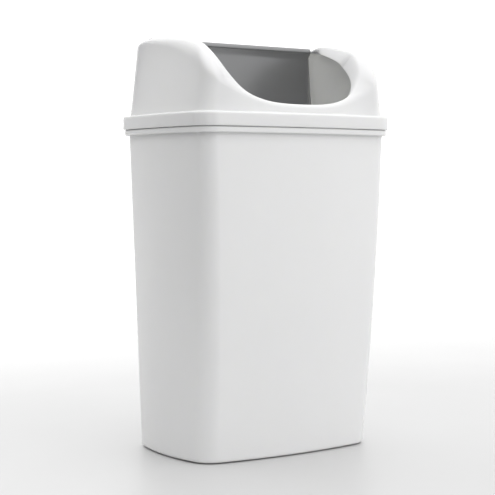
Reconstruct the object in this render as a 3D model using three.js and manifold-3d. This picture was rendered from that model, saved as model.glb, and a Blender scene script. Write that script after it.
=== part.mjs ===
// Open-hooded waste bin: tub, lift-off hood with two side humps, dark screen, bag ring, screws and feet.
// Millimetres, +Z up, front towards -Y, x = 0 is the plane of symmetry, z = 0 is the floor.
import * as THREE from 'three';
import { mergeVertices } from 'three/addons/utils/BufferGeometryUtils.js';
import Module from 'manifold-3d';

const wasm = await Module();
wasm.setup();

// ---- Driving dimensions -------------------------------------------------------------------------

const GAP = 0.3;            // clearance between touching pieces
const BURIED = 1;           // how far joined shapes run into each other, and cutters run past a face
const SKIRT_TOP = 573;      // top face of the hood's ledge
const SKIRT_BOTTOM = 550;   // lower edge of the hood's skirt
const RIM_BOTTOM = 540;     // lower edge of the tub's turned-down rim
const HOOD_WALL = 3;
const TUB_WALL = 2.5;
const TUB_BASE = 1.5;       // underside of the tub; the pads stand this far proud
const TUB_FLOOR = 5.5;      // upper face of the tub's floor
const BASE_ROUND = 7;       // rounding of the tub's bottom edge
const FLOOR_ROUND = 5;      // fillet between the tub's floor and its wall, inside
const FRONT_BULGE = 8.3;    // how far the tub's front face swells out at mid height
const BULGE_REACH = 130;    // distance in front of the middle plane at which that swelling is full
const SPIGOT_TOP = 566;     // upper edge of the upright collar that the hood's skirt slides over
const SPIGOT_INSET = 6.5;   // outer face of that collar, inside the rim's outline
const RIM_LIP = 2.3;        // thickness of the rim's turned-down lip
const RIM_WEB = 2.9;        // thickness of the flat web that joins the lip to the wall
const RIM_EDGE = 0.8;       // broken edges of the rim
const HOOD_EDGE = { foot: 0.7, turn: 3, round: 0.9, cove: 1.5 }; // edges of the skirt and its ledge
const MOUTH_BACK = 82;      // straight rear edge of the mouth
const SCREEN = {
  front: 76,                // front face of the plate
  plate: 3,
  foot: 580,
  wingTop: 691,             // upper end of the swept-back wings
  beadUnder: 701.8,         // underside of the bead over the roof's edge
  top: 705,
  beadHalf: 168.4,
  beadBack: 84.8,
  beadRound: 1.5,
  roofOver: 4,              // height of the rounded edges above the wings
  returnDepth: 9,           // stiffening return along the foot, behind the plate
  returnSide: 8,
  returnThick: 2.5,
};
// The screen narrows towards its top: half width of the face and tip of each wing at two heights.
const SCREEN_HIGH = { z: 697, face: 165.5, tipX: 174, tipY: 87 };
const SCREEN_LOW = { z: 590, face: 167, tipX: 184, tipY: 93 };
const WEB = { x0: 118, x1: 146, y0: 86, y1: 89, z0: 652, z1: 699.2 };
const SCREW = { x: 132, rows: [664, 686], shank: 1.5, head: 3.6, headHeight: 2.2, tip: 81 };
const BOSS_RADIUS = 4.5;
const PAD = { radius: 13, height: 3.2, recess: 3.5, edge: 0.8, x: 145, rows: [-66, 92] };
// Heights of the bag ring, and its faces measured inwards from the rim's outline.
const RING = { top: 568.8, flange: 2.5, foot: 538, lip: 6.9, outer: 11.2, inner: 13.4 };

// Plan outlines: half width, front, back, corner radius, front crown, side crown.
const SKIRT = [205, -145, 145, 30, 13, 9.4];
const HOOD_BASE = [194, -134, 134, 24, 12.5, 9];
const RIM = [202.5, -142.5, 142.5, 28, 13, 9.4];
const TUB_TOP = [196, -136, 136, 24, 13, 9.4];
const TUB_BOTTOM = [186, -109.5, 124.3, 25, 15, 18];

// Samples along half of an outline: front, front corner, side, rear corner, back.
const COUNTS = [8, 7, 12, 6, 3];

// Crest of the hood at stations along the half outline, from the front centre to the rear centre.
// s: place along the outline (0..5, one unit per COUNTS entry); x, y, z: crest point;
// drop: height of the outer roll; lip: inward reach and fall of the inner roll; lean: wall draft.
const STATIONS = [
  { s: 0.00, x: 0, y: -127, z: 588, drop: 8, lip: [6, 6], lean: 0.5 },
  { s: 0.40, x: 62, y: -126, z: 591, drop: 9, lip: [6, 6], lean: 0.6 },
  { s: 0.65, x: 100, y: -122.5, z: 602, drop: 10, lip: [9, 8], lean: 1.0 },
  { s: 0.85, x: 120, y: -118, z: 617, drop: 12, lip: [12, 11], lean: 1.5 },
  { s: 1.10, x: 136, y: -110, z: 638, drop: 16, lip: [15, 16], lean: 3 },
  { s: 1.50, x: 146, y: -99, z: 658, drop: 28, lip: [18, 20], lean: 6 },
  { s: 1.85, x: 152, y: -82, z: 676, drop: 34, lip: [20, 23], lean: 9 },
  { s: 2.15, x: 155, y: -60, z: 689, drop: 32, lip: [20, 23], lean: 12 },
  { s: 2.45, x: 157, y: -15, z: 700, drop: 22, lip: [18, 20], lean: 16 },
  { s: 2.75, x: 160, y: 28, z: 704.6, drop: 15, lip: [14, 15], lean: 18 },
  { s: 3.00, x: 167, y: 56, z: 704, drop: 12, lip: [8, 9], lean: 19 },
  { s: 3.30, x: 172.5, y: 73, z: 701.8, drop: 12, lip: [1.5, 4], lean: 19 },
  { s: 3.60, x: 170, y: 80.5, z: 701.3, drop: 14, lip: [1.5, 4], lean: 15 },
  { s: 4.00, x: 145, y: MOUTH_BACK, z: 701.2, drop: 18, lip: [1.5, 4], lean: 9 },
  { s: 5.00, x: 0, y: MOUTH_BACK, z: 701.2, drop: 20, lip: [1.5, 4], lean: 6 },
];

// ---- Geometry helpers ---------------------------------------------------------------------------

const v3 = (x, y, z) => new THREE.Vector3(x, y, z);
const mix = (a, b, t) => a + (b - a) * t;

/** Half outline as a list of points at s = 0..5, bowed outwards by the two crowns. */
function outlinePoint([halfWidth, front, back, radius, frontCrown, sideCrown], s) {
  const w = halfWidth - sideCrown;
  const f = front + frontCrown;
  const leg = Math.min(Math.floor(s), 4);
  const t = s - leg;
  const quarter = Math.PI / 2;
  const point = [
    () => [mix(0, w - radius, t), f],
    () => [w - radius + radius * Math.sin(t * quarter), f + radius - radius * Math.cos(t * quarter)],
    () => [w, mix(f + radius, back - radius, t)],
    () => [w - radius + radius * Math.cos(t * quarter), back - radius + radius * Math.sin(t * quarter)],
    () => [mix(w - radius, 0, t), back],
  ][leg]();
  const u = point[0] / w;
  const v = (2 * point[1] - f - back) / (back - f);
  const x = point[0] + sideCrown * (1 - v * v) * u;
  const y = point[1] - frontCrown * (1 - u * u) * Math.max(0, -v);
  return new THREE.Vector2(x, y);
}

/** The s values of half an outline. */
function halfSteps() {
  const steps = [];
  COUNTS.forEach((count, leg) => {
    for (let k = 0; k < count; k += 1) steps.push(leg + k / count);
  });
  steps.push(COUNTS.length);
  return steps;
}

/** Half a ring joined to its mirror image in x; it runs anticlockwise seen from above. */
function mirrorRing(half) {
  return [...half, ...half.slice(1, -1).reverse().map((p) => v3(-p.x, p.y, p.z))];
}

/** A full ring from a function of s. */
const ring = (place) => mirrorRing(halfSteps().map(place));

const flatRing = (outline, z) => ring((s) => {
  const p = outlinePoint(outline, s);
  return v3(p.x, p.y, z);
});

/** Outline pulled in on every side, corners kept concentric. */
function inset([halfWidth, front, back, radius, frontCrown, sideCrown], d) {
  return [halfWidth - d, front + d, back - d, Math.max(radius - d, 4), frontCrown, sideCrown];
}

/** Closed body through a stack of rings: capped at both ends, or joined end to end when looped. */
function loft(rings, looped = false) {
  const n = rings[0].length;
  const points = rings.flat();
  const index = [];
  const last = looped ? rings.length : rings.length - 1;
  for (let k = 0; k < last; k += 1) {
    const low = k * n;
    const high = ((k + 1) % rings.length) * n;
    for (let i = 0; i < n; i += 1) {
      const j = (i + 1) % n;
      index.push(low + i, low + j, high + j, low + i, high + j, high + i);
    }
  }
  if (!looped) {
    const top = (rings.length - 1) * n;
    const middle = (stack) => stack.reduce((sum, p) => sum.add(p), v3(0, 0, 0)).divideScalar(n);
    points.push(middle(rings[0]), middle(rings[rings.length - 1]));
    for (let i = 0; i < n; i += 1) {
      const j = (i + 1) % n;
      index.push(points.length - 2, j, i, points.length - 1, top + i, top + j);
    }
  }
  const geometry = new THREE.BufferGeometry();
  const flat = points.flatMap((p) => [p.x, p.y, p.z]);
  geometry.setAttribute('position', new THREE.Float32BufferAttribute(flat, 3));
  geometry.setIndex(index);
  geometry.computeVertexNormals();
  return geometry;
}

/** Manifold solid of a geometry. */
function solid(geometry) {
  const bare = geometry.clone();
  bare.deleteAttribute('normal');
  bare.deleteAttribute('uv');
  const merged = mergeVertices(bare, 1e-4);
  return new wasm.Manifold(new wasm.Mesh({
    numProp: 3,
    vertProperties: new Float32Array(merged.attributes.position.array),
    triVerts: new Uint32Array(merged.index.array),
  }));
}

/** Geometry of a manifold solid. */
function geometryOf(body) {
  const mesh = body.getMesh();
  const geometry = new THREE.BufferGeometry();
  geometry.setAttribute('position', new THREE.BufferAttribute(mesh.vertProperties, 3));
  geometry.setIndex(new THREE.BufferAttribute(mesh.triVerts, 1));
  geometry.computeVertexNormals();
  return geometry;
}

/** Upright cylinder between two heights. */
function post(radius, z0, z1, x, y, sides) {
  return new THREE.CylinderGeometry(radius, radius, z1 - z0, sides)
    .rotateX(Math.PI / 2)
    .translate(x, y, (z0 + z1) / 2);
}

/** Cylinder along y between two depths. */
function pin(radius, y0, y1, x, z, sides = 16) {
  return new THREE.CylinderGeometry(radius, radius, y1 - y0, sides).translate(x, (y0 + y1) / 2, z);
}

/** Box from its limits. */
function block(x0, x1, y0, y1, z0, z1) {
  return new THREE.BoxGeometry(x1 - x0, y1 - y0, z1 - z0)
    .translate((x0 + x1) / 2, (y0 + y1) / 2, (z0 + z1) / 2);
}

// ---- Tub ----------------------------------------------------------------------------------------

/** Ring of the tub's wall at height z, pulled in by d. */
function tubRing(z, d) {
  const t = (z - TUB_BASE) / (SKIRT_BOTTOM - TUB_BASE);
  const bulge = FRONT_BULGE * 4 * t * (1 - t);
  return ring((s) => {
    const low = outlinePoint(inset(TUB_BOTTOM, d), s);
    const high = outlinePoint(inset(TUB_TOP, d), s);
    const p = low.lerp(high, t);
    const share = Math.max(0, -p.y / BULGE_REACH);
    return v3(p.x, p.y - bulge * share, z);
  });
}

// Heights at which the tub's wall is given a ring, inside and out.
const TUB_LEVELS = [75, 150, 225, 300, 375, 450, 530];

function tubGeometry() {
  const rings = [];
  const rounding = 3;
  for (let k = 0; k <= rounding; k += 1) {
    const a = (k / rounding) * (Math.PI / 2);
    rings.push(tubRing(TUB_BASE + BASE_ROUND * (1 - Math.cos(a)), BASE_ROUND * (1 - Math.sin(a))));
  }
  for (const z of TUB_LEVELS) rings.push(tubRing(z, 0));
  const rimTop = SKIRT_BOTTOM - GAP;
  const webUnder = rimTop - RIM_WEB;
  rings.push(tubRing(webUnder, 0));
  const rim = [
    [RIM_LIP, webUnder],
    [RIM_LIP, RIM_BOTTOM],
    [RIM_EDGE, RIM_BOTTOM],
    [0, RIM_BOTTOM + RIM_EDGE],
    [0, rimTop - RIM_EDGE],
    [RIM_EDGE, rimTop],
    [SPIGOT_INSET, rimTop],
    [SPIGOT_INSET, SPIGOT_TOP],
    [SPIGOT_INSET + TUB_WALL, SPIGOT_TOP],
  ];
  for (const [d, z] of rim) rings.push(flatRing(inset(RIM, d), z));
  for (const z of TUB_LEVELS.toReversed()) rings.push(tubRing(z, TUB_WALL));
  for (let k = 0; k <= rounding; k += 1) {
    const a = (k / rounding) * (Math.PI / 2);
    const lift = FLOOR_ROUND * (1 - Math.sin(a));
    const inward = FLOOR_ROUND * (1 - Math.cos(a));
    rings.push(tubRing(TUB_FLOOR + lift, TUB_WALL + inward));
  }
  return loft(rings);
}

// ---- Hood ---------------------------------------------------------------------------------------

/** Crest data at s, eased between the stations. */
function crestAt(s) {
  const upper = Math.max(1, STATIONS.findIndex((row) => row.s >= s - 1e-9));
  const at = (k) => {
    const row = STATIONS[Math.min(Math.max(k, 0), STATIONS.length - 1)];
    return [row.s, row.x, row.y, row.z, row.drop, row.lip[0], row.lip[1], row.lean];
  };
  const [p0, p1, p2, p3] = [at(upper - 2), at(upper - 1), at(upper), at(upper + 1)];
  const t = (s - p1[0]) / (p2[0] - p1[0]);
  const value = (c) => {
    const slope = (a, b) => (b[0] > a[0] ? (b[c] - a[c]) / (b[0] - a[0]) : 0);
    const m1 = slope(p0, p2) * (p2[0] - p1[0]);
    const m2 = slope(p1, p3) * (p2[0] - p1[0]);
    const t2 = t * t;
    const t3 = t2 * t;
    return (2 * t3 - 3 * t2 + 1) * p1[c] + (t3 - 2 * t2 + t) * m1 + (3 * t2 - 2 * t3) * p2[c] + (t3 - t2) * m2;
  };
  const [x, y, z, drop, reach, fall, lean] = [1, 2, 3, 4, 5, 6, 7].map(value);
  return { x, y, z, drop, reach, fall, lean };
}

// Facets of the outer roll, the lip's roll and the inner side of the outer roll.
const ROLL_STEPS = 7;
const LIP_STEPS = 4;
const INNER_STEPS = 6;
const THINNEST = 0.2;       // smallest size of the lip's inner roll
const LIP_KNEE = 0.35;      // share of the lip's reach at which it turns from level to steep

// Places in a section's list of points: foot of the wall, and the crest.
const WALL_START = 6;
const CREST_AT = WALL_START + 2 + ROLL_STEPS;

/** One section of the hood: outside up, over the crest, round the lip and back down inside. */
function hoodSection(s) {
  const skirt = outlinePoint(SKIRT, s);
  const base = outlinePoint(HOOD_BASE, s);
  const crest = crestAt(s);
  const across = new THREE.Vector2(crest.x - base.x, crest.y - base.y);
  const span = across.length();
  across.normalize();
  const ledge = skirt.distanceTo(base);
  const out = [];
  const onLedge = (d, z) => {
    const p = skirt.clone().lerp(base, d / ledge);
    out.push(v3(p.x, p.y, z));
  };
  const onWall = (d, z) => {
    out.push(v3(base.x + across.x * d, base.y + across.y * d, z));
  };
  const w = HOOD_WALL;
  const shoulder = crest.z - crest.drop;
  const roll = span - crest.lean;
  const { foot, turn, round, cove } = HOOD_EDGE;
  onLedge(foot, SKIRT_BOTTOM);
  onLedge(0, SKIRT_BOTTOM + foot);
  onLedge(0, SKIRT_TOP - turn);
  onLedge(round, SKIRT_TOP - round);
  onLedge(turn, SKIRT_TOP);
  onLedge(ledge - cove, SKIRT_TOP);
  onWall(0, SKIRT_TOP + cove);
  onWall(crest.lean / 2, (SKIRT_TOP + cove + shoulder) / 2);
  onWall(crest.lean, shoulder);
  for (let k = 1; k <= ROLL_STEPS; k += 1) {
    const a = (k / ROLL_STEPS) * (Math.PI / 2);
    onWall(crest.lean + roll * (1 - Math.cos(a)), shoulder + crest.drop * Math.sin(a));
  }
  const onLip = (k, top, reach, fall) => {
    const t = k / LIP_STEPS;
    onWall(span + reach * t * mix(2 * LIP_KNEE, 1, t), top - fall * t * t);
  };
  for (let k = 1; k <= LIP_STEPS; k += 1) onLip(k, crest.z, crest.reach, crest.fall);
  const reach = Math.max(crest.reach - w, THINNEST);
  const fall = Math.max(crest.fall - w, THINNEST);
  for (let k = LIP_STEPS; k >= 1; k -= 1) onLip(k, crest.z - w, reach, fall);
  for (let k = INNER_STEPS; k >= 0; k -= 1) {
    const a = (k / INNER_STEPS) * (Math.PI / 2);
    onWall(crest.lean + w + (roll - w) * (1 - Math.cos(a)), shoulder + (crest.drop - w) * Math.sin(a));
  }
  onWall(crest.lean / 2 + w, (SKIRT_TOP + shoulder) / 2);
  onWall(w, SKIRT_TOP - w);
  onLedge(w, SKIRT_TOP - w);
  onLedge(w, SKIRT_BOTTOM);
  return out;
}

function hoodGeometry() {
  const half = halfSteps().map(hoodSection);
  return loft(half[0].map((_, k) => mirrorRing(half.map((section) => section[k]))), true);
}

/** Everything under the hood's outer skin, lowered a little so that added webs stay buried in it. */
function hoodEnvelope() {
  const sink = HOOD_WALL * 0.47;
  const half = halfSteps().map((s) => hoodSection(s).slice(WALL_START, CREST_AT + 1));
  const rings = half[0].map((_, k) => mirrorRing(half.map((section) => section[k])));
  return solid(loft(rings)).translate(0, 0, -sink);
}

/** The hood with two screw webs hanging from its roof, each drilled for two screws. */
function drilledHood() {
  let hood = solid(hoodGeometry());
  const envelope = hoodEnvelope();
  for (const side of [-1, 1]) {
    const [x0, x1] = [side * WEB.x0, side * WEB.x1].sort((a, b) => a - b);
    const web = solid(block(x0, x1, WEB.y0, WEB.y1, WEB.z0, WEB.z1));
    hood = hood.add(web.intersect(envelope));
    for (const z of SCREW.rows) {
      const hole = pin(SCREW.shank + GAP, WEB.y0 - BURIED, WEB.y1 + BURIED, side * SCREW.x, z);
      hood = hood.subtract(solid(hole));
    }
  }
  return geometryOf(hood);
}

// ---- Screen -------------------------------------------------------------------------------------

/** A measure of the tapering screen at height z. */
function taper(key, z) {
  const t = (SCREEN_HIGH.z - z) / (SCREEN_HIGH.z - SCREEN_LOW.z);
  return mix(SCREEN_HIGH[key], SCREEN_LOW[key], t);
}
const faceHalf = (z) => taper('face', z);
const wingTip = (z) => new THREE.Vector2(taper('tipX', z), taper('tipY', z));

/** Prism whose plan at height z is given by a function, between two heights. */
function prism(plan, z0, z1) {
  const level = (z) => plan(z).map((p) => v3(p.x, p.y, z));
  return loft([level(z0), level(z1)]);
}

/** Rounded vertical edge of the screen on the right-hand side. */
function edgePlan(z) {
  const r = SCREEN.plate;
  const centre = new THREE.Vector2(faceHalf(z) - r, SCREEN.front + r);
  const sides = 20;
  return Array.from({ length: sides }, (_, k) => {
    const a = (k / sides) * 2 * Math.PI;
    return new THREE.Vector2(centre.x + r * Math.cos(a), centre.y + r * Math.sin(a));
  });
}

/** Wing that runs back and outwards from the rounded edge to the hood's side wall. */
function wingPlan(z) {
  const t = SCREEN.plate;
  const root = new THREE.Vector2(faceHalf(z) - t, SCREEN.front + t);
  const tip = wingTip(z);
  const along = tip.clone().sub(root).normalize();
  const facing = new THREE.Vector2(along.y, -along.x).multiplyScalar(t);
  return [root, root.clone().add(facing), tip, tip.clone().sub(facing)];
}

/** Plate, top bead, wings and foot return of the screen, with four screw bosses behind. */
function screenGeometry() {
  const { front, plate, foot, wingTop, beadUnder, roofOver, returnDepth, returnSide, returnThick } = SCREEN;
  const back = front + plate;
  const facePlan = (z) => {
    const x = faceHalf(z) - plate;
    return [[-x, front], [x, front], [x, back], [-x, back]].map(([px, py]) => new THREE.Vector2(px, py));
  };
  let screen = solid(prism(facePlan, foot, beadUnder + BURIED));
  const edge = solid(prism(edgePlan, foot, wingTop + roofOver));
  const right = edge.add(solid(prism(wingPlan, foot, wingTop)));
  screen = screen.add(right).add(right.mirror([1, 0, 0]));
  screen = screen.add(solid(beadGeometry()));
  const half = faceHalf(foot) - returnSide;
  screen = screen.add(solid(block(-half, half, front + BURIED, back + returnDepth, foot, foot + returnThick)));
  for (const x of [-SCREW.x, SCREW.x]) {
    for (const z of SCREW.rows) {
      screen = screen.add(solid(pin(BOSS_RADIUS, back - BURIED, WEB.y0 - GAP, x, z)));
      screen = screen.subtract(solid(pin(SCREW.shank + GAP, SCREW.tip - GAP, WEB.y0, x, z)));
    }
  }
  return geometryOf(screen);
}

/** Rounded bar along the top of the screen that reaches back over the roof's edge. */
function beadGeometry() {
  const { front, beadUnder, top, beadHalf, beadBack, beadRound: r } = SCREEN;
  const quarter = Math.PI / 2;
  const profile = new THREE.Shape();
  profile.moveTo(front + BURIED, beadUnder - 2 * r);
  profile.absarc(front, beadUnder - r, r, -quarter, -2 * quarter, true);
  profile.absarc(front, top - r, r, 2 * quarter, quarter, true);
  profile.absarc(beadBack - r, top - r, r, quarter, 0, true);
  profile.lineTo(beadBack, beadUnder);
  profile.lineTo(front + BURIED, beadUnder);
  profile.closePath();
  return new THREE.ExtrudeGeometry(profile, { depth: 2 * beadHalf, bevelEnabled: false, curveSegments: 4 })
    .rotateX(quarter)
    .rotateZ(quarter)
    .translate(-beadHalf, 0, 0);
}

/** Pan-head screw, driven forwards (towards -Y) from behind the web. */
function screwGeometry() {
  const { shank, head, headHeight, tip } = SCREW;
  const seat = WEB.y1 + GAP;
  const profile = [
    [0, tip],
    [shank * 0.6, tip],
    [shank, tip + 1],
    [shank, seat],
    [head, seat],
    [head, seat + headHeight * 0.5],
    [head * 0.75, seat + headHeight],
    [0, seat + headHeight],
  ].map(([r, y]) => new THREE.Vector2(r, y));
  return new THREE.LatheGeometry(profile, 16);
}

// ---- Bag ring and pads --------------------------------------------------------------------------

function bagRingGeometry() {
  const { top, flange, foot, lip, outer, inner } = RING;
  const level = (d, z) => flatRing(inset(RIM, d), z);
  return loft([
    level(outer, foot),
    level(outer, top - flange),
    level(lip, top - flange),
    level(lip, top),
    level(inner, top),
    level(inner, foot),
  ], true);
}

const PAD_SIDES = 28;

function padGeometry() {
  const { radius, height, edge } = PAD;
  const profile = [[0, 0], [radius - edge, 0], [radius, edge], [radius, height], [0, height]]
    .map(([r, z]) => new THREE.Vector2(r, z));
  return new THREE.LatheGeometry(profile, PAD_SIDES).rotateX(Math.PI / 2);
}

/** The tub with a shallow recess for each pad. */
function recessedTub() {
  let tub = solid(tubGeometry());
  for (const x of [-PAD.x, PAD.x]) {
    for (const y of PAD.rows) {
      tub = tub.subtract(solid(post(PAD.radius + GAP, TUB_BASE - BURIED, PAD.recess, x, y, PAD_SIDES)));
    }
  }
  return geometryOf(tub);
}

// ---- Assembly -----------------------------------------------------------------------------------

const group = new THREE.Group();
group.name = 'waste_bin';

function add(name, geometry, color, roughness, metalness = 0) {
  const mesh = new THREE.Mesh(geometry, new THREE.MeshStandardMaterial({ color, roughness, metalness }));
  mesh.name = name;
  group.add(mesh);
  return mesh;
}

const WHITE = 0xf1f1ef;
const DARK_GREY = 0x6a6b6e;
const LIGHT_GREY = 0xb9bbbc;
const ZINC = 0x9a9c9f;
const BLACK = 0x2b2b2c;

add('tub', recessedTub(), WHITE, 0.4);
add('hood', drilledHood(), WHITE, 0.35);
add('screen', screenGeometry(), DARK_GREY, 0.25);
add('bag_ring', bagRingGeometry(), LIGHT_GREY, 0.5);

for (const [side, x] of [['left', -SCREW.x], ['right', SCREW.x]]) {
  SCREW.rows.forEach((z, row) => {
    const screw = add(`screen_screw_${side}_${['low', 'high'][row]}`, screwGeometry(), ZINC, 0.3, 0.8);
    screw.position.set(x, 0, z);
  });
}

for (const [side, x] of [['left', -PAD.x], ['right', PAD.x]]) {
  PAD.rows.forEach((y, row) => {
    const pad = add(`foot_pad_${['front', 'rear'][row]}_${side}`, padGeometry(), BLACK, 0.9);
    pad.position.set(x, y, 0);
  });
}

export default group;
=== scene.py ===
"""Open-hooded waste bin: the visual model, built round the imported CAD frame."""

import math

import bmesh
import bpy
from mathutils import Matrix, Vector


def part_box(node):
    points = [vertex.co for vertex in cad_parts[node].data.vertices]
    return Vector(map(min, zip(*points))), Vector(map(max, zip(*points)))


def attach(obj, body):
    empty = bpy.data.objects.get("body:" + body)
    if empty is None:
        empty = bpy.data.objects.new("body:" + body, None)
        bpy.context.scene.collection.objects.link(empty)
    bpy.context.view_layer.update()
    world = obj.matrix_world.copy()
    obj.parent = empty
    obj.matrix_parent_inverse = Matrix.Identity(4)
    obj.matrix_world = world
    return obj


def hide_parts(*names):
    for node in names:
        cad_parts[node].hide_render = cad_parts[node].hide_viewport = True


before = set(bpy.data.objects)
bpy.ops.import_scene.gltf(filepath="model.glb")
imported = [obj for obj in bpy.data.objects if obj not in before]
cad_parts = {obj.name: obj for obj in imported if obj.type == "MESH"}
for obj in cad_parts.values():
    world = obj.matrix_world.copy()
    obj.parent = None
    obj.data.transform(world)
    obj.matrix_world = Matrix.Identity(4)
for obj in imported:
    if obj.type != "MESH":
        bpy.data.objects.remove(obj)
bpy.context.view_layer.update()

MM = 0.001

# ---- Shared dimensions, millimetres ---------------------------------------------------------------

SKIRT_TOP = 573.0
SKIRT_BOTTOM = 550.0
RIM_BOTTOM = 540.0
HOOD_WALL = 3.0
TUB_WALL = 2.5
TUB_BASE = 1.5
TUB_FLOOR = 5.5
BASE_ROUND = 5.0
FLOOR_ROUND = 5.0            # rounding between the tub's inner wall and its floor
FRONT_BULGE = 8.3            # how far the tub's front face swells at mid height
FRONT_REACH = 130.0          # distance ahead of the middle at which the swell is complete
LEAST_RADIUS = 4.0           # smallest corner radius left by an inset
SPIGOT_TOP = 566.0
SKIRT_SEAM = 0.12

# Plan outlines: half width, front, back, corner radius, front crown, side crown.
SKIRT = (205, -145, 145, 30, 13, 9.4)
HOOD_BASE = (194, -134, 134, 24, 12.5, 9)
RIM = (202.5, -142.5, 142.5, 28, 13, 9.4)
TUB_TOP = (196, -136, 136, 24, 13, 9.4)
TUB_BOTTOM = (186, -109.5, 124.3, 25, 15, 18)

# Samples along half of an outline: front, front corner, side, rear corner, back.
COUNTS = (16, 14, 26, 12, 8)

# Stations of the hood's crest from the front centre to the rear centre:
# place on the outline, crest x, y, z, height of the outer roll, lip reach, lip fall, wall draft.
STATIONS = (
    (0.00, 0, -127, 588, 8, 6, 6, 0.5),
    (0.40, 62, -126, 591, 9, 6, 6, 0.6),
    (0.65, 100, -122.5, 602, 10, 9, 8, 1.0),
    (0.85, 120, -118, 617, 12, 12, 11, 1.5),
    (1.10, 136, -110, 638, 16, 15, 16, 3),
    (1.50, 146, -99, 658, 28, 18, 20, 6),
    (1.85, 152, -82, 676, 34, 20, 23, 9),
    (2.15, 155, -60, 689, 32, 20, 23, 12),
    (2.45, 157, -15, 700, 22, 18, 20, 16),
    (2.75, 160, 28, 704.6, 15, 14, 15, 18),
    (3.00, 167, 56, 704, 12, 8, 9, 19),
    (3.30, 172.5, 73, 701.8, 12, 1.5, 4, 19),
    (3.60, 170, 80.5, 701.3, 14, 1.5, 4, 15),
    (4.00, 145, 82, 701.2, 18, 1.5, 4, 9),
    (5.00, 0, 82, 701.2, 20, 1.5, 4, 6),
)
CREST_SMOOTHING = 5
ROLL_STEPS = 12              # steps round the outer roll, the inner roll and the lip
INNER_ROLL_STEPS = 9
LIP_STEPS = 8
THINNEST = 0.2               # smallest size of the lip's inner roll
LIP_KNEE = 0.35              # share of the lip's reach at which it turns from level to steep

# ---- Mesh helpers -----------------------------------------------------------------------------------

BEVEL_ANGLE = 35             # degrees between faces above which an edge is softened


def mix(a, b, t):
    return a + (b - a) * t


def share_of(value, start, end):
    """How far value has got from start to end, held between 0 and 1."""
    return min(1.0, max(0.0, (value - start) / (end - start)))


def quarter_turns(steps):
    """Angles from 0 to a quarter turn."""
    return [k / steps * math.pi / 2 for k in range(steps + 1)]


def outline_point(outline, s):
    """Point of an outline at s = 0..5 along its right half, bowed outwards by its crowns."""
    half_width, front, back, radius, front_crown, side_crown = outline
    w = half_width - side_crown
    f = front + front_crown
    leg = min(int(s), 4)
    t = s - leg
    turn = t * math.pi / 2
    if leg == 0:
        x, y = mix(0, w - radius, t), f
    elif leg == 1:
        x, y = w - radius + radius * math.sin(turn), f + radius - radius * math.cos(turn)
    elif leg == 2:
        x, y = w, mix(f + radius, back - radius, t)
    elif leg == 3:
        x, y = w - radius + radius * math.cos(turn), back - radius + radius * math.sin(turn)
    else:
        x, y = mix(w - radius, 0, t), back
    u = x / w
    v = (2 * y - f - back) / (back - f)
    return x + side_crown * (1 - v * v) * u, y - front_crown * (1 - u * u) * max(0.0, -v)


def half_steps():
    steps = [leg + k / count for leg, count in enumerate(COUNTS) for k in range(count)]
    return steps + [float(len(COUNTS))]


def mirror_ring(half):
    """Half a ring joined to its mirror image; it runs anticlockwise seen from above."""
    return half + [(-x, y, z) for x, y, z in reversed(half[1:-1])]


def inset(outline, d):
    half_width, front, back, radius, front_crown, side_crown = outline
    return (half_width - d, front + d, back - d, max(radius - d, LEAST_RADIUS), front_crown, side_crown)


def flat_ring(outline, z):
    return mirror_ring([(*outline_point(outline, s), z) for s in half_steps()])


def mesh_object(name, points, faces, smooth=True):
    """Object from points in millimetres."""
    mesh = bpy.data.meshes.new(name)
    mesh.from_pydata([Vector(p) * MM for p in points], [], faces)
    mesh.validate()
    for polygon in mesh.polygons:
        polygon.use_smooth = smooth
    obj = bpy.data.objects.new(name, mesh)
    bpy.context.scene.collection.objects.link(obj)
    return obj


def loft_faces(rings, looped=False, start=0):
    """Points and quads of a body through a stack of rings, numbered from start."""
    n = len(rings[0])
    points = [p for ring in rings for p in ring]
    faces = []
    stack = len(rings) if looped else len(rings) - 1
    for k in range(stack):
        low, high = start + k * n, start + ((k + 1) % len(rings)) * n
        for i in range(n):
            j = (i + 1) % n
            faces.append((low + i, low + j, high + j, high + i))
    if not looped:
        top = start + (len(rings) - 1) * n
        faces.append(tuple(start + i for i in reversed(range(n))))
        faces.append(tuple(top + i for i in range(n)))
    return points, faces


def lathe_faces(profile, sides, start=0):
    """Body of revolution about z from (radius, height) pairs that start and end on the axis."""
    inner = profile[1:-1]
    points = [(0, 0, profile[0][1])]
    for r, z in inner:
        for k in range(sides):
            a = 2 * math.pi * k / sides
            points.append((r * math.cos(a), r * math.sin(a), z))
    points.append((0, 0, profile[-1][1]))
    faces = []
    for k in range(sides):
        j = (k + 1) % sides
        faces.append((start, start + 1 + j, start + 1 + k))
        for row in range(len(inner) - 1):
            a, b = start + 1 + row * sides, start + 1 + (row + 1) * sides
            faces.append((a + k, a + j, b + j, b + k))
        last = start + 1 + (len(inner) - 1) * sides
        faces.append((last + k, last + j, start + len(points) - 1))
    return points, faces


def face_outwards(obj):
    """Turns every face of a closed body to point out of it."""
    body = bmesh.new()
    body.from_mesh(obj.data)
    bmesh.ops.recalc_face_normals(body, faces=body.faces)
    body.to_mesh(obj.data)
    body.free()


def subdivide(obj):
    modifier = obj.modifiers.new("smooth", "SUBSURF")
    modifier.levels = 1
    modifier.render_levels = 1


def bevel(obj, width_mm, segments):
    modifier = obj.modifiers.new("soft_edges", "BEVEL")
    modifier.width = width_mm * MM
    modifier.segments = segments
    modifier.limit_method = "ANGLE"
    modifier.angle_limit = math.radians(BEVEL_ANGLE)


# ---- Tub --------------------------------------------------------------------------------------------

TUB_LEVELS = (20, 45, 75, 115, 160, 205, 250, 295, 340, 385, 430, 470, 505, 528, 540)
FLOOR_SHARES = (0.15, 0.5, 0.8, 0.97)   # rings of the floor, as shares of its outer ring
LIP_HEIGHT = 6.8                        # from the rim's lower edge to the underside of its web


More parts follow.
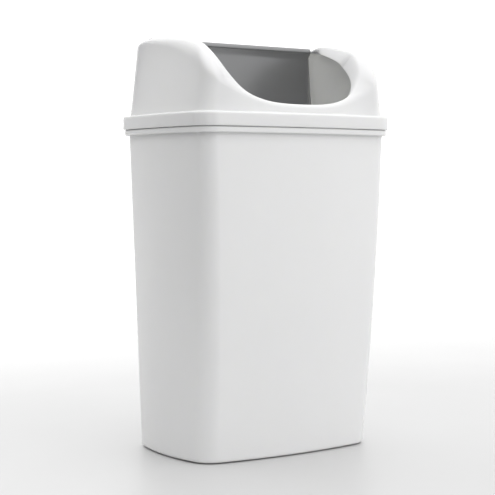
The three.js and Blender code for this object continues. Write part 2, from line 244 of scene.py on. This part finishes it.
def tub_ring(z, d):
    """Ring of the tub's wall at height z, pulled in by d, with the front face swelling at mid height."""
    t = (z - TUB_BASE) / (SKIRT_BOTTOM - TUB_BASE)
    swell = FRONT_BULGE * 4 * t * (1 - t)
    half = []
    for s in half_steps():
        low = outline_point(inset(TUB_BOTTOM, d), s)
        high = outline_point(inset(TUB_TOP, d), s)
        x, y = mix(low[0], high[0], t), mix(low[1], high[1], t)
        half.append((x, y - swell * max(0.0, -y / FRONT_REACH), z))
    return mirror_ring(half)


def shrunk(ring, share, z):
    """Ring pulled towards its middle, for a floor."""
    cy = sum(p[1] for p in ring) / len(ring)
    return [(x * share, cy + (y - cy) * share, z) for x, y, _ in ring]


def make_tub():
    rings = []
    foot = tub_ring(TUB_BASE, BASE_ROUND)
    rings += [shrunk(foot, share, TUB_BASE) for share in FLOOR_SHARES]
    for a in quarter_turns(5):
        rings.append(tub_ring(TUB_BASE + BASE_ROUND * (1 - math.cos(a)), BASE_ROUND * (1 - math.sin(a))))
    rings += [tub_ring(z, 0) for z in TUB_LEVELS]
    under = RIM_BOTTOM + LIP_HEIGHT
    seat = SKIRT_BOTTOM - SKIRT_SEAM
    # Distance inside the rim's outline, height: up the lip's inside, over it and up the spigot.
    lip = [(6.4, under - 0.9), (5.9, under), (2.9, under), (2.3, under - 0.7),
           (2.3, RIM_BOTTOM + 0.5), (2.0, RIM_BOTTOM), (1.6, RIM_BOTTOM),
           (0.7, RIM_BOTTOM + 0.4), (0.15, RIM_BOTTOM + 1.3), (0, RIM_BOTTOM + 2.8)]
    ledge = [(0, seat - 3.2), (0.15, seat - 1.8), (0.7, seat - 0.75),
             (1.7, seat - 0.15), (2.7, seat), (5.9, seat)]
    spigot = [(6.5, SKIRT_BOTTOM + 0.4), (6.5, SPIGOT_TOP - 1.2), (6.9, SPIGOT_TOP),
              (8.6, SPIGOT_TOP), (9.0, SPIGOT_TOP - 1.2)]
    rings += [flat_ring(inset(RIM, d), z) for d, z in lip + ledge + spigot]
    rings += [tub_ring(z, TUB_WALL) for z in reversed(TUB_LEVELS)]
    for a in quarter_turns(4):
        rise = FLOOR_ROUND * (1 - math.sin(a))
        inward = FLOOR_ROUND * (1 - math.cos(a))
        rings.append(tub_ring(TUB_FLOOR + rise, TUB_WALL + inward))
    rings += [shrunk(rings[-1], share, TUB_FLOOR) for share in reversed(FLOOR_SHARES)]
    tub = mesh_object("tub_shell", *loft_faces(rings))
    subdivide(tub)
    return tub


# ---- Hood -------------------------------------------------------------------------------------------


def crest_row(s):
    """Crest data at s, eased between the stations."""
    rows = STATIONS
    upper = max(1, next(k for k, row in enumerate(rows) if row[0] >= s - 1e-9))
    p0, p1 = rows[max(upper - 2, 0)], rows[upper - 1]
    p2, p3 = rows[upper], rows[min(upper + 1, len(rows) - 1)]
    step = p2[0] - p1[0]
    t = (s - p1[0]) / step
    values = []
    for c in range(1, len(p1)):
        m1 = (p2[c] - p0[c]) / (p2[0] - p0[0]) * step
        m2 = (p3[c] - p1[c]) / (p3[0] - p1[0]) * step
        values.append((2 * t**3 - 3 * t**2 + 1) * p1[c] + (t**3 - 2 * t**2 + t) * m1
                      + (3 * t**2 - 2 * t**3) * p2[c] + (t**3 - t**2) * m2)
    return values


def smooth_rows(rows, passes):
    """Evens out the rows along the half ring; x is odd and the rest are even about both ends."""
    for _ in range(passes):
        first = [-rows[1][0]] + rows[1][1:]
        last = [-rows[-2][0]] + rows[-2][1:]
        padded = [first] + rows + [last]
        rows = [[(a + 2 * b + c) / 4 for a, b, c in zip(*padded[k:k + 3])] for k in range(len(rows))]
    return rows


def hood_section(s, row):
    """Section of the hood: outside up, over the crest, round the lip and back down inside."""
    x, y, z, drop, reach, fall, lean = row
    skirt = Vector(outline_point(SKIRT, s))
    base = Vector(outline_point(HOOD_BASE, s))
    across = Vector((x, y)) - base
    span = across.length
    across.normalize()
    ledge = (skirt - base).length
    shoulder = z - drop
    roll = span - lean
    w = HOOD_WALL
    points = []

    def on_ledge(d, height):
        p = skirt.lerp(base, d / ledge)
        points.append((p.x, p.y, height))

    def on_wall(d, height):
        p = base + across * d
        points.append((p.x, p.y, height))

    for d, height in ((2.6, SKIRT_BOTTOM), (1.6, SKIRT_BOTTOM + 0.1), (0.7, SKIRT_BOTTOM + 0.6),
                      (0.15, SKIRT_BOTTOM + 1.5), (0, SKIRT_BOTTOM + 2.6), (0, SKIRT_BOTTOM + 8),
                      (0, SKIRT_TOP - 8), (0, SKIRT_TOP - 3),
                      (0.35, SKIRT_TOP - 1.3), (1.3, SKIRT_TOP - 0.35), (3, SKIRT_TOP),
                      (ledge * 0.6, SKIRT_TOP), (ledge - 1.8, SKIRT_TOP + 0.1)):
        on_ledge(d, height)
    on_wall(-0.4, SKIRT_TOP + 0.6)
    on_wall(0, SKIRT_TOP + 2.2)
    for share in (0.12, 0.35, 0.6, 0.82, 0.95):
        on_wall(lean * share, mix(SKIRT_TOP, shoulder, share))
    for a in quarter_turns(ROLL_STEPS)[1:]:
        on_wall(lean + roll * (1 - math.cos(a)), shoulder + drop * math.sin(a))

    def on_lip(k, top, across_lip, down_lip):
        t = k / LIP_STEPS
        on_wall(span + across_lip * t * mix(2 * LIP_KNEE, 1, t), top - down_lip * t * t)

    for k in range(1, LIP_STEPS + 1):
        on_lip(k, z, reach, fall)
    on_wall(span + reach - 0.1, z - fall - 0.6)
    lip, sink = max(reach - w, THINNEST), max(fall - w, THINNEST)
    on_wall(span + lip + 0.3, z - w - sink - 0.3)
    for k in range(LIP_STEPS, 0, -1):
        on_lip(k, z - w, lip, sink)
    for a in reversed(quarter_turns(INNER_ROLL_STEPS)):
        on_wall(lean + w + (roll - w) * (1 - math.cos(a)), shoulder + (drop - w) * math.sin(a))
    for share in (0.7, 0.3, 0.05):
        on_wall(lean * share + w, mix(SKIRT_TOP - w, shoulder, share))
    on_wall(w, SKIRT_TOP - w)
    on_ledge(ledge * 0.6, SKIRT_TOP - w)
    on_ledge(w + 1, SKIRT_TOP - w)
    on_ledge(w, SKIRT_TOP - w - 1)
    on_ledge(w, SKIRT_BOTTOM + 1)
    return points


def make_hood():
    steps = half_steps()
    rows = smooth_rows([crest_row(s) for s in steps], CREST_SMOOTHING)
    sections = [hood_section(s, row) for s, row in zip(steps, rows)]
    rings = [mirror_ring([section[k] for section in sections]) for k in range(len(sections[0]))]
    hood = mesh_object("hood_shell", *loft_faces(rings, looped=True))
    subdivide(hood)
    return hood


# ---- Screen -----------------------------------------------------------------------------------------

SCREEN_FRONT = 76.0
SCREEN_PLATE = 3.0
SCREEN_FOOT = 580.0
WING_TOP = 691.0
COVE_FOOT = 684.0
BEAD_TOP = 705.0
FOOT_SWEEP = 3.0             # how far the sheet sweeps forwards towards its foot
COVE_RISE = 6.0              # height over which the cove under the bead takes shape
BEAD_END = 0.26              # place along the wing where the bead stops
BEAD_FADE = 0.3              # place along the wing where the plain edge has taken over
BEAD_FLARE = (690.0, 698.0)  # heights between which the wing's root turns to run straight
RETURN_DEPTH = 12.0          # depth of the return at the sheet's foot
# Half width of the face and tip of each wing at two heights.
SCREEN_HIGH = (697, 165.5, 174, 87)
SCREEN_LOW = (590, 167, 184, 93)

# Rings along a wing, as shares of its length.
WING_PLACES = (0.0, 0.06, 0.15, 0.21, 0.25, BEAD_END, BEAD_FADE, 0.45, 0.7, 0.9, 0.98, 1.0)

# Front of the right-hand edge: distance inside the face's half width, and how proud it stands.
EDGE_BEAD = (
    (9.0, 0), (7.0, 0), (6.0, 0.05), (5.3, 0.35),
    (4.5, 0.85), (3.6, 1.1), (2.6, 1.05), (1.8, 0.6),
)

# Section of the sheet from the foot, up the front, round the bead and down the back: depth behind
# the front face, height. RETURN stands for the depth of the foot's return.
RETURN = "return"
SCREEN_SECTION = (
    (RETURN, 580.7), (RETURN, 580.0), (6, 580.0), (1.2, 580.0), (0.3, 580.3), (0, 581.2),
    (0, 590), (0, 612), (0, 640), (0, 662), (0, 677), (0, 683),
    (-0.05, 685), (-0.3, 687.2), (-0.8, 689.8), (-1.4, 692.4),
    (-2.0, 694.8), (-2.3, 696.0), (-2.45, 696.7), (-2.9, 697.0), (-3.4, 697.6), (-3.55, 698.6),
    (-3.35, 700.2), (-2.85, 702.1), (-2.1, 703.7), (-1.1, 704.7), (0.3, 705.0), (3, 705.0), (6.2, 705.0),
    (7.9, 704.7), (8.7, 703.9), (8.8, 702.8), (8.6, 702.0), (7.8, 701.8), (4.3, 701.8), (3.3, 701.4),
    (3, 700.4), (3, 693), (3, 677), (3, 650), (3, 615), (3, 590), (3, 584), (3.4, 583), (4.4, 582.6),
    (RETURN, 582.5), (RETURN, 581.8),
)


def screen_taper(z):
    """Half width of the screen's face and the tip of its wing at height z."""
    t = (SCREEN_HIGH[0] - z) / (SCREEN_HIGH[0] - SCREEN_LOW[0])
    return [mix(high, low, t) for high, low in zip(SCREEN_HIGH[1:], SCREEN_LOW[1:])]


def screen_stations():
    """Places along the sheet from the middle to the right-hand tip: (kind, position)."""
    face = [("face", k / 10) for k in range(10)]
    edge = [("edge", k) for k in range(len(EDGE_BEAD))]
    wing = [("wing", t) for t in WING_PLACES]
    return face + edge + wing


def screen_front(kind, t, z, cove):
    """Front surface of the sheet in plan, and its outward normal there."""
    half, tip_x, tip_y = screen_taper(z)
    ahead = Vector((0, -1))
    if kind == "face":
        return Vector((mix(0, half - EDGE_BEAD[0][0], t), SCREEN_FRONT)), ahead
    if kind == "edge":
        inside, proud = EDGE_BEAD[t]
        return Vector((half - inside, SCREEN_FRONT - proud * (1 - cove))), ahead
    root = Vector((half - 1.0, SCREEN_FRONT + 0.5))
    tip = Vector((tip_x, tip_y))
    along = (tip - root).normalized()
    straight = root + Vector((t * (tip - root).length, -0.5))
    flare = share_of(z, *BEAD_FLARE) * (1 - share_of(t, BEAD_END, BEAD_FADE))
    normal = Vector((along.y, -along.x)).lerp(ahead, flare).normalized()
    return root.lerp(tip, t).lerp(straight, flare), normal


def screen_point(kind, t, depth, z):
    """Point of the sheet's section; past the bead's end the wing has a plain rounded edge."""
    turned = 1.0 if kind == "wing" else 0.0
    if kind == "edge":
        turned = share_of(t, 5, len(EDGE_BEAD))
    plain = share_of(t, BEAD_END, BEAD_FADE) if kind == "wing" else 0.0
    reach = mix(RETURN_DEPTH, SCREEN_PLATE + 0.4, min(1.0, turned * 1.5))
    depth = reach if depth == RETURN else depth
    cove = share_of(z, COVE_FOOT, COVE_FOOT + COVE_RISE)
    front, normal = screen_front(kind, t, z, cove)
    if z > COVE_FOOT:
        low = COVE_FOOT + (z - COVE_FOOT) * (WING_TOP - COVE_FOOT) / (BEAD_TOP - COVE_FOOT)
        z = mix(z, low, plain)
        depth = mix(depth, min(max(depth, 0.0), SCREEN_PLATE), plain)
    sweep = FOOT_SWEEP * share_of(z, COVE_FOOT, SCREEN_FOOT) ** 2
    p = front - normal * depth
    return (p.x, p.y - sweep, z)


def make_screen():
    sections = [[screen_point(*place, *row) for row in SCREEN_SECTION] for place in screen_stations()]
    left = [[(-x, y, z) for x, y, z in section] for section in reversed(sections[1:])]
    screen = mesh_object("screen_panel", *loft_faces(left + sections))
    subdivide(screen)
    return screen


def make_boss(name, node):
    """Tapped pillar behind the screen that takes one screw."""
    low, high = (Vector(corner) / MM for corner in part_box(node))
    x, z = (low.x + high.x) / 2, (low.z + high.z) / 2
    profile = [(0, 80.7), (1.5, 80.7), (1.8, 81.0), (1.8, 85.2), (2.1, 85.7), (4.1, 85.7), (4.5, 85.3),
               (4.55, 82), (4.8, 80), (5.6, 79.1), (5.6, 78.2), (0, 78.2)]
    points, faces = lathe_faces(profile, 40)
    boss = mesh_object(name, [(x + px, pz, z - py) for px, py, pz in points], faces)
    face_outwards(boss)
    return boss


# ---- Screws, webs, ring and pads --------------------------------------------------------------------

HEAD_RADIUS = 3.6
HEAD_HEIGHT = 2.2
THREADS = 5
THREAD_PITCH = 1.45
ROUND_SIDES = 72             # sides of a turned piece
RECESS = (2.1, 0.42, 1.1)    # reach, half width and depth of the cross recess


def recess_depth(x, z):
    """Depth of the cross recess at a point of the screw's head."""
    reach, half, depth = RECESS

    def arm(along, across):
        end = max(0.0, min(1.0, (reach - abs(along)) / 0.35))
        side = max(0.0, min(1.0, (half + 0.12 - abs(across)) / 0.24))
        return end * side

    centre = max(0.0, 1 - math.hypot(x, z) / 1.0)
    return depth * max(arm(x, z), arm(z, x), centre)


def make_screw(name, node):
    """Pan-head screw with a cross recess; it runs forwards from behind the web."""
    low, high = (Vector(corner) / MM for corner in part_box(node))
    x, z = (low.x + high.x) / 2, (low.z + high.z) / 2
    tip, top = low.y, high.y
    seat = top - HEAD_HEIGHT
    shank = [(0, tip), (0.7, tip), (1.25, tip + 0.9)]
    for k in range(THREADS):
        y = tip + 1.2 + k * THREAD_PITCH
        shank += [(1.28, y), (1.5, y + 0.45), (1.5, y + 0.7), (1.28, y + 1.1)]
    shank += [(1.5, seat - 0.2), (1.7, seat), (3.3, seat)]
    shank += [(HEAD_RADIUS, seat + 0.25), (HEAD_RADIUS, seat + 0.8)]
    crown = []
    for k in range(30):
        r = 3.55 * (1 - k / 30)
        crown.append((r, top - 1.25 * (r / HEAD_RADIUS) ** 3))
    profile = shank + crown + [(0, top)]
    points, faces = lathe_faces(profile, ROUND_SIDES)
    sunk = []
    for px, py, pz in points:
        if pz > seat + 0.5:
            pz -= recess_depth(px, py)
        sunk.append((x + px, pz, z - py))
    screw = mesh_object(name, sunk, faces)
    face_outwards(screw)
    return screw


# Box of the right-hand web: x, y and z of its near and far faces.
WEB = (118, 146, 86, 89, 652, 699.2)


def make_web(name, side):
    """Plate that hangs from the hood's roof behind the screen and carries two screws.

    side is 1 for the right-hand web and -1 for its mirror image.
    """
    x0, x1, y0, y1, z0, z1 = WEB
    points = []
    for x, z in ((x0, z1), (x0, z0 + 4), (x0 + 1.2, z0 + 1.2), (x0 + 4, z0), (x1 - 4, z0),
                 (x1 - 1.2, z0 + 1.2), (x1, z0 + 4), (x1, z1)):
        points.append((side * x, z))
    if side < 0:
        points.reverse()
    n = len(points)
    rings = [(x, y0, z) for x, z in points] + [(x, y1, z) for x, z in points]
    faces = [tuple(range(n)), tuple(reversed(range(n, 2 * n)))]
    faces += [(i, n + i, n + (i + 1) % n, (i + 1) % n) for i in range(n)]
    web = mesh_object(name, rings, faces, smooth=False)
    face_outwards(web)
    bevel(web, 0.5, 3)
    return web


def make_bag_ring():
    """Flanged ring that rests on the tub's spigot and traps the liner; distances inside the rim."""
    outside = [(11.2, 538.9), (11.2, 552), (11.2, 563.5), (11.1, 565.4), (10.6, 566.1)]
    flange = [(9.4, 566.3), (8.0, 566.3), (7.2, 566.45), (6.9, 567.0), (6.9, 568.0),
              (7.25, 568.6), (8.2, 568.8), (11.8, 568.8), (12.9, 568.6)]
    inside = [(13.4, 567.9), (13.4, 560), (13.4, 548), (13.4, 538.8),
              (13.0, 538.1), (12.3, 538.0), (11.5, 538.15)]
    rings = [flat_ring(inset(RIM, d), z) for d, z in outside + flange + inside]
    ring = mesh_object("bag_ring_band", *loft_faces(rings, looped=True))
    subdivide(ring)
    return ring


PAD_GROOVES = (4.6, 7.4, 10.2)          # radius of each groove under a pad
GROOVE_SECTION = ((-0.6, 0), (-0.35, 0.15), (-0.2, 0.6), (0.2, 0.6), (0.35, 0.15), (0.6, 0))


def make_pad(name, node):
    """Round rubber foot with a rolled edge and three grooves underneath."""
    low, high = (Vector(corner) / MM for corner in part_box(node))
    cx, cy, top = (low.x + high.x) / 2, (low.y + high.y) / 2, high.z
    profile = [(0, 0.5), (1.6, 0.5), (2.0, 0.1), (2.4, 0)]
    for r in PAD_GROOVES:
        profile += [(r + across, height) for across, height in GROOVE_SECTION]
    profile += [(11.9, 0), (12.5, 0.12), (12.9, 0.5), (13.0, 1.0), (13.0, 1.5), (12.6, 1.7)]
    profile += [(12.6, top), (0, top)]
    points, faces = lathe_faces(profile, ROUND_SIDES)
    pad = mesh_object(name, [(cx + x, cy + y, z) for x, y, z in points], faces)
    face_outwards(pad)
    return pad


# ---- Materials --------------------------------------------------------------------------------------


class Nodes:
    """Small helper that builds one material's node tree."""

    def __init__(self, name):
        self.material = bpy.data.materials.new(name)
        self.material.use_nodes = True
        self.tree = self.material.node_tree
        self.shader = self.tree.nodes["Principled BSDF"]
        self.place = self.add("ShaderNodeTexCoord").outputs["Object"]

    def add(self, kind):
        return self.tree.nodes.new(kind)

    def link(self, source, target):
        self.tree.links.new(source, target)

    def noise(self, scale, detail=4, roughness=0.5, stretch=None):
        node = self.add("ShaderNodeTexNoise")
        node.inputs["Scale"].default_value = scale
        node.inputs["Detail"].default_value = detail
        node.inputs["Roughness"].default_value = roughness
        place = self.place
        if stretch:
            mapping = self.add("ShaderNodeMapping")
            mapping.inputs["Scale"].default_value = stretch
            self.link(place, mapping.inputs["Vector"])
            place = mapping.outputs["Vector"]
        self.link(place, node.inputs["Vector"])
        return node.outputs["Fac"]

    def ranged(self, source, low, high, start=0.3, end=0.7):
        node = self.add("ShaderNodeMapRange")
        sockets = ("From Min", "From Max", "To Min", "To Max")
        for socket, value in zip(sockets, (start, end, low, high)):
            node.inputs[socket].default_value = value
        self.link(source, node.inputs["Value"])
        return node.outputs["Result"]

    def colours(self, source, low, high, start=0.3, end=0.7):
        node = self.add("ShaderNodeValToRGB")
        stops = zip(node.color_ramp.elements, (start, end), (low, high))
        for element, position, colour in stops:
            element.position = position
            element.color = (*colour, 1)
        self.link(source, node.inputs["Fac"])
        return node.outputs["Color"]

    def bump(self, height, strength, distance, normal=None):
        node = self.add("ShaderNodeBump")
        node.inputs["Strength"].default_value = strength
        node.inputs["Distance"].default_value = distance
        self.link(height, node.inputs["Height"])
        if normal:
            self.link(normal, node.inputs["Normal"])
        return node.outputs["Normal"]


def moulded_plastic(name, low, high, gloss, grain=0.25, subsurface=0.0, metallic=0.0):
    """Moulded plastic: faint drifts of tone, uneven gloss, moulding texture and fine handling marks.

    low and high are the ends of the colour drift, and gloss is the range of roughness.
    """
    n = Nodes(name)
    drift = n.noise(5.5, 5, 0.55)
    n.link(n.colours(drift, low, high), n.shader.inputs["Base Color"])
    marks = n.noise(30, 6, 0.6, stretch=(1, 1, 0.5))
    n.link(n.ranged(marks, gloss[0], gloss[1], 0.35, 0.75), n.shader.inputs["Roughness"])
    skin = n.bump(n.noise(900, 2, 0.5), grain, 0.00004)
    waves = n.bump(n.noise(14, 2, 0.4), 0.12, 0.0006, skin)
    n.link(waves, n.shader.inputs["Normal"])
    n.shader.inputs["IOR"].default_value = 1.49
    n.shader.inputs["Metallic"].default_value = metallic
    n.shader.inputs["Subsurface Weight"].default_value = subsurface
    n.shader.inputs["Subsurface Radius"].default_value = (0.004, 0.004, 0.0038)
    n.shader.inputs["Subsurface Scale"].default_value = 1.0
    return n.material


WHITE = moulded_plastic("white_moulding", (0.845, 0.847, 0.845), (0.86, 0.862, 0.86),
                        (0.215, 0.262), subsurface=0.9)
SCREEN_GREY = moulded_plastic("dark_grey_moulding", (0.26, 0.262, 0.266), (0.28, 0.282, 0.286),
                              (0.29, 0.33), metallic=0.62)
RING_GREY = moulded_plastic("ring_moulding", (0.42, 0.43, 0.44), (0.47, 0.48, 0.49),
                            (0.42, 0.55), grain=0.5)


def zinc_plate(name):
    """Bright zinc plating with fine turning marks and a little cloudiness."""
    n = Nodes(name)
    cloud = n.noise(260, 5, 0.6)
    n.link(n.colours(cloud, (0.52, 0.53, 0.55), (0.68, 0.68, 0.69)), n.shader.inputs["Base Color"])
    n.shader.inputs["Metallic"].default_value = 1.0
    n.link(n.ranged(n.noise(900, 4, 0.6), 0.2, 0.42), n.shader.inputs["Roughness"])
    n.link(n.bump(n.noise(2400, 2, 0.5), 0.2, 0.00002), n.shader.inputs["Normal"])
    return n.material


def black_rubber(name):
    """Matt rubber with dust in its grain."""
    n = Nodes(name)
    dust = n.noise(120, 6, 0.65)
    colour = n.colours(dust, (0.012, 0.012, 0.012), (0.04, 0.039, 0.037), 0.4, 0.8)
    n.link(colour, n.shader.inputs["Base Color"])
    n.link(n.ranged(dust, 0.62, 0.85), n.shader.inputs["Roughness"])
    n.link(n.bump(n.noise(1500, 3, 0.6), 0.5, 0.00006), n.shader.inputs["Normal"])
    return n.material


ZINC = zinc_plate("zinc_plating")
RUBBER = black_rubber("black_rubber")


def dress(obj, body, nodes, material):
    """Gives a piece its material and says what it stands for and rides on."""
    obj.data.materials.clear()
    obj.data.materials.append(material)
    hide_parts(*nodes)
    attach(obj, body)


dress(make_tub(), "tub", ["tub"], WHITE)
dress(make_hood(), "hood", ["hood"], WHITE)
dress(make_screen(), "hood", ["screen"], SCREEN_GREY)
dress(make_bag_ring(), "bag_ring", ["bag_ring"], RING_GREY)
for side, sign in (("left", -1), ("right", 1)):
    dress(make_web(f"hood_web_{side}", sign), "hood", ["hood"], WHITE)
    for row in ("low", "high"):
        node = f"screen_screw_{side}_{row}"
        dress(make_boss(f"screen_boss_{side}_{row}", node), "hood", ["screen"], SCREEN_GREY)
        dress(make_screw(f"screw_{side}_{row}", node), "hood", [node], ZINC)
    for end in ("front", "rear"):
        node = f"foot_pad_{end}_{side}"
        dress(make_pad(f"pad_{end}_{side}", node), "tub", [node], RUBBER)

# ---- Stage ------------------------------------------------------------------------------------------

# Surroundings, as brightness by elevation in degrees and by compass bearing, clockwise from straight
# behind the bin in steps of 30 degrees. The brightnesses are not a measured studio: smoothed least
# squares fitted them to the tones of the photographed bin, with set levels for the unseen sides.
NADIR = 0.64
RINGS = (
    (-10, (1.35, 1.3, 1.01, 0.95, 1.16, 0.78, 0.44, 0.25, 0.05, 0, 0.07, 0.88)),
    (20, (1.38, 1.59, 0.97, 0.75, 1.11, 1.25, 1.1, 0.74, 0.35, 0.18, 0.31, 0.93)),
    (50, (1.45, 1.39, 1.16, 1.19, 1.54, 1.9, 1.97, 1.7, 1.32, 1.12, 1.19, 1.39)),
)
OVERHEAD = 2.28

FLOOR_SIDE = 4000            # half the floor's width, in millimetres
FADE = (0.7, 3.0)            # distances from the middle, in metres, over which the floor fades out

# Camera that was solved from the photograph's perspective.
CAMERA_LENS = 97.1
CAMERA_SENSOR = 36
CAMERA_PLACE = (-1.3172, -1.9105, 0.4625)
CAMERA_DIP = 2.86            # degrees below the horizontal
CAMERA_BEARING = -34.14      # degrees, turned about the vertical


def make_floor():
    """Pale disc that fades out into the white surroundings."""
    far = FLOOR_SIDE
    points = [(-far, -far, 0), (far, -far, 0), (far, far, 0), (-far, far, 0)]
    floor = mesh_object("floor", points, [(0, 1, 2, 3)], smooth=False)
    n = Nodes("pale_floor")
    tone = n.colours(n.noise(2.2, 4), (0.55, 0.55, 0.55), (0.57, 0.57, 0.57))
    n.link(tone, n.shader.inputs["Base Color"])
    n.shader.inputs["Roughness"].default_value = 0.42
    n.shader.inputs["IOR"].default_value = 1.5
    reach = n.add("ShaderNodeVectorMath")
    reach.operation = "LENGTH"
    n.link(n.place, reach.inputs[0])
    n.link(n.ranged(reach.outputs["Value"], 1, 0, *FADE), n.shader.inputs["Alpha"])
    floor.data.materials.append(n.material)


def make_world():
    """Soft surroundings: white behind the bin, bright overhead and to the front right, dim to the left."""
    world = bpy.data.worlds.new("studio")
    bpy.context.scene.world = world
    world.use_nodes = True
    tree = world.node_tree
    background = tree.nodes["Background"]
    background.inputs["Color"].default_value = (1, 1, 1, 1)
    place = tree.nodes.new("ShaderNodeTexCoord").outputs["Generated"]
    parts = tree.nodes.new("ShaderNodeSeparateXYZ")
    tree.links.new(place, parts.inputs["Vector"])

    def plug(socket, value):
        if isinstance(value, (int, float)):
            socket.default_value = value
        else:
            tree.links.new(value, socket)

    def maths(operation, *values):
        node = tree.nodes.new("ShaderNodeMath")
        node.operation = operation
        for socket, value in zip(node.inputs, values):
            plug(socket, value)
        return node.outputs["Value"]

    turn = maths("ARCTAN2", parts.outputs["X"], parts.outputs["Y"])
    bearing = maths("FRACT", maths("ADD", maths("DIVIDE", turn, 2 * math.pi), 1.0))
    elevation = maths("ARCSINE", parts.outputs["Z"])

    def ring(values):
        """Brightness round the compass; the factor is the bearing as a share of a full turn."""
        ramp = tree.nodes.new("ShaderNodeValToRGB")
        stops = list(values) + [values[0]]
        elements = ramp.color_ramp.elements
        while len(elements) < len(stops):
            elements.new(0.5)
        for k, value in enumerate(stops):
            elements[k].position = k / len(values)
            elements[k].color = (value, value, value, 1)
        tree.links.new(bearing, ramp.inputs["Fac"])
        return ramp.outputs["Color"]

    levels = [(-90, NADIR)] + [(angle, ring(values)) for angle, values in RINGS] + [(90, OVERHEAD)]
    total = levels[0][1]
    for (low, _), (high, brightness) in zip(levels, levels[1:]):
        share = tree.nodes.new("ShaderNodeMapRange")
        share.inputs["From Min"].default_value = math.radians(low)
        share.inputs["From Max"].default_value = math.radians(high)
        tree.links.new(elevation, share.inputs["Value"])
        rest = maths("SUBTRACT", 1.0, share.outputs["Result"])
        below = maths("MULTIPLY", rest, total)
        above = maths("MULTIPLY", share.outputs["Result"], brightness)
        total = maths("ADD", below, above)
    tree.links.new(total, background.inputs["Strength"])


def make_camera():
    camera = bpy.data.objects.new("camera", bpy.data.cameras.new("camera"))
    camera.data.lens = CAMERA_LENS
    camera.data.sensor_width = CAMERA_SENSOR
    camera.location = CAMERA_PLACE
    camera.rotation_euler = (math.radians(90 - CAMERA_DIP), 0, math.radians(CAMERA_BEARING))
    bpy.context.scene.collection.objects.link(camera)
    bpy.context.scene.camera = camera


make_camera()
make_floor()
make_world()
bpy.context.scene.view_settings.view_transform = "Standard"
